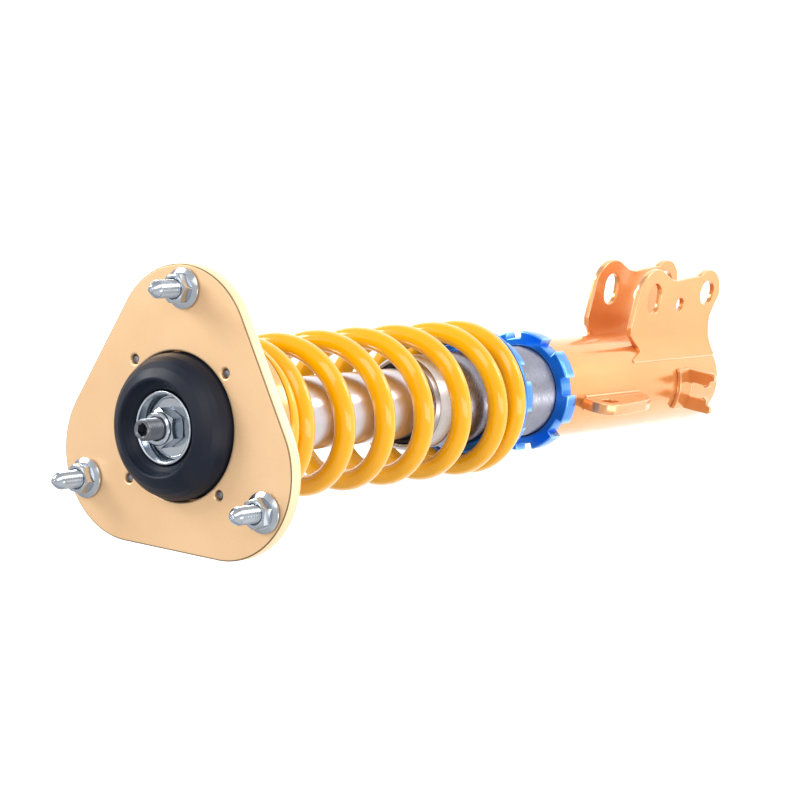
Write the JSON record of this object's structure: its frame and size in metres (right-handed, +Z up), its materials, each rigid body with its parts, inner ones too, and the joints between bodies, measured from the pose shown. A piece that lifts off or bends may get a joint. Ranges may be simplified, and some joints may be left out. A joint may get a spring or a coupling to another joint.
{
  "type": "coilover strut",
  "caption": "Height-adjustable coilover strut: triangular top mount, coil spring over a polished damper tube, threaded body with lock rings, and a lower clamp bracket.",
  "frame": {"origin": "centre of the top plate's upper face, on the strut's axis", "axes": "+Z up out of the top mount along the strut's axis; +X the way the knuckle ears point; the link tab and hose bracket are on the -Y side"},
  "size_m": [0.1574, 0.1636, 0.5349],
  "materials": {
    "satin_gold": "satin orange-gold anodised, fine grain",
    "gloss_gold": "gloss transparent orange-gold over steel",
    "spring_yellow": "gloss yellow powder coat on spring steel",
    "anodised_blue": "bright blue anodised",
    "zinc": "bright zinc plate",
    "chrome": "hard chrome, polished",
    "steel": "plain turned steel",
    "thread_grey": "fine rolled thread, grey plated",
    "rubber": "satin black-blue moulded rubber",
    "seal_black": "matt black",
    "urethane": "cellular urethane",
    "bronze": "plain bearing bronze",
    "alloy": "machined aluminium"
  },
  "bodies": {
    "top_mount": {"top_plate": "satin_gold", "stud_a": "zinc", "stud_b": "zinc", "stud_c": "zinc", "stud_nut_a": "zinc", "stud_nut_b": "zinc", "stud_nut_c": "zinc", "mount_dome": "rubber", "centre_cup": "zinc", "cup_washer": "zinc", "rod_nut": "zinc", "rod_stem": "steel", "mount_housing": "gloss_gold", "housing_screw_1": "steel", "housing_screw_2": "steel", "housing_screw_3": "steel", "housing_screw_4": "steel", "bearing_upper_race": "steel", "damper_tube": "chrome", "tube_top_cap": "steel", "rod_guide": "alloy", "rod_seal": "seal_black"},
    "bearing_cage": {"bearing_cage": "steel"},
    "upper_seat": {"upper_seat": "gloss_gold", "bearing_lower_race": "steel", "spring_isolator": "seal_black", "spring": "spring_yellow"},
    "gas_piston": {"floating_piston": "alloy"},
    "strut_body": {"threaded_housing": "thread_grey", "gland_cap": "alloy", "wiper_seal": "seal_black", "upper_guide_bush": "bronze", "lower_guide_bush": "bronze", "housing_base": "steel", "piston_rod": "chrome", "damper_piston": "alloy", "piston_nut": "steel", "bump_stop": "urethane"},
    "perch_washer": {"thrust_washer": "seal_black"},
    "perch": {"spring_perch": "anodised_blue"},
    "perch_ring": {"perch_lock_ring": "anodised_blue"},
    "lower_bracket": {"lower_tube": "gloss_gold", "end_plug": "gloss_gold", "knuckle_ear_far": "gloss_gold", "knuckle_ear_near": "gloss_gold", "link_tab": "gloss_gold", "hose_bracket": "gloss_gold"},
    "lower_ring": {"lower_lock_ring": "anodised_blue"}
  },
  "joints": [
    {"name": "steer", "type": "hinge", "parent": "top_mount", "child": "upper_seat", "pos_m": [0, 0, -0.027], "axis": [0, 0, 1], "range_deg": [-40, 40]},
    {"name": "bearing_roll", "type": "hinge", "parent": "top_mount", "child": "bearing_cage", "pos_m": [0, 0, -0.027], "axis": [0, 0, 1], "range_deg": [-20.5, 20.5]},
    {"name": "damper_stroke", "type": "slide", "parent": "upper_seat", "child": "strut_body", "axis": [0, 0, 1], "range_m": [0, 0.11], "stiffness_N_per_m": 55000, "springref_m": -0.005, "deforming": ["spring"]},
    {"name": "gas_piston_travel", "type": "slide", "parent": "top_mount", "child": "gas_piston", "axis": [0, 0, 1], "range_m": [0, 0.0162]},
    {"name": "perch_height", "type": "slide", "parent": "strut_body", "child": "perch_washer", "axis": [0, 0, 1], "range_m": [-0.01, 0]},
    {"name": "perch_turn", "type": "hinge", "parent": "perch_washer", "child": "perch", "pos_m": [0, 0, -0.268], "axis": [0, 0, 1], "range_deg": [-1801, 0]},
    {"name": "perch_ring_turn", "type": "hinge", "parent": "perch_washer", "child": "perch_ring", "pos_m": [0, 0, -0.2755], "axis": [0, 0, 1], "range_deg": [-1801, 0]},
    {"name": "body_height", "type": "slide", "parent": "strut_body", "child": "lower_bracket", "axis": [0, 0, 1], "range_m": [0, 0.014]},
    {"name": "lower_ring_turn", "type": "hinge", "parent": "lower_bracket", "child": "lower_ring", "pos_m": [0, 0, -0.321], "axis": [0, 0, 1], "range_deg": [0, 2521]}
  ],
  "couplings": [
    {"joint": "bearing_roll", "follows": "steer", "ratio": 0.5},
    {"joint": "gas_piston_travel", "follows": "damper_stroke", "ratio": 0.1463},
    {"joint": "perch_turn", "follows": "perch_height", "rad_per_m": 3141.6},
    {"joint": "perch_ring_turn", "follows": "perch_height", "rad_per_m": 3141.6},
    {"joint": "lower_ring_turn", "follows": "body_height", "rad_per_m": 3141.6}
  ]
}
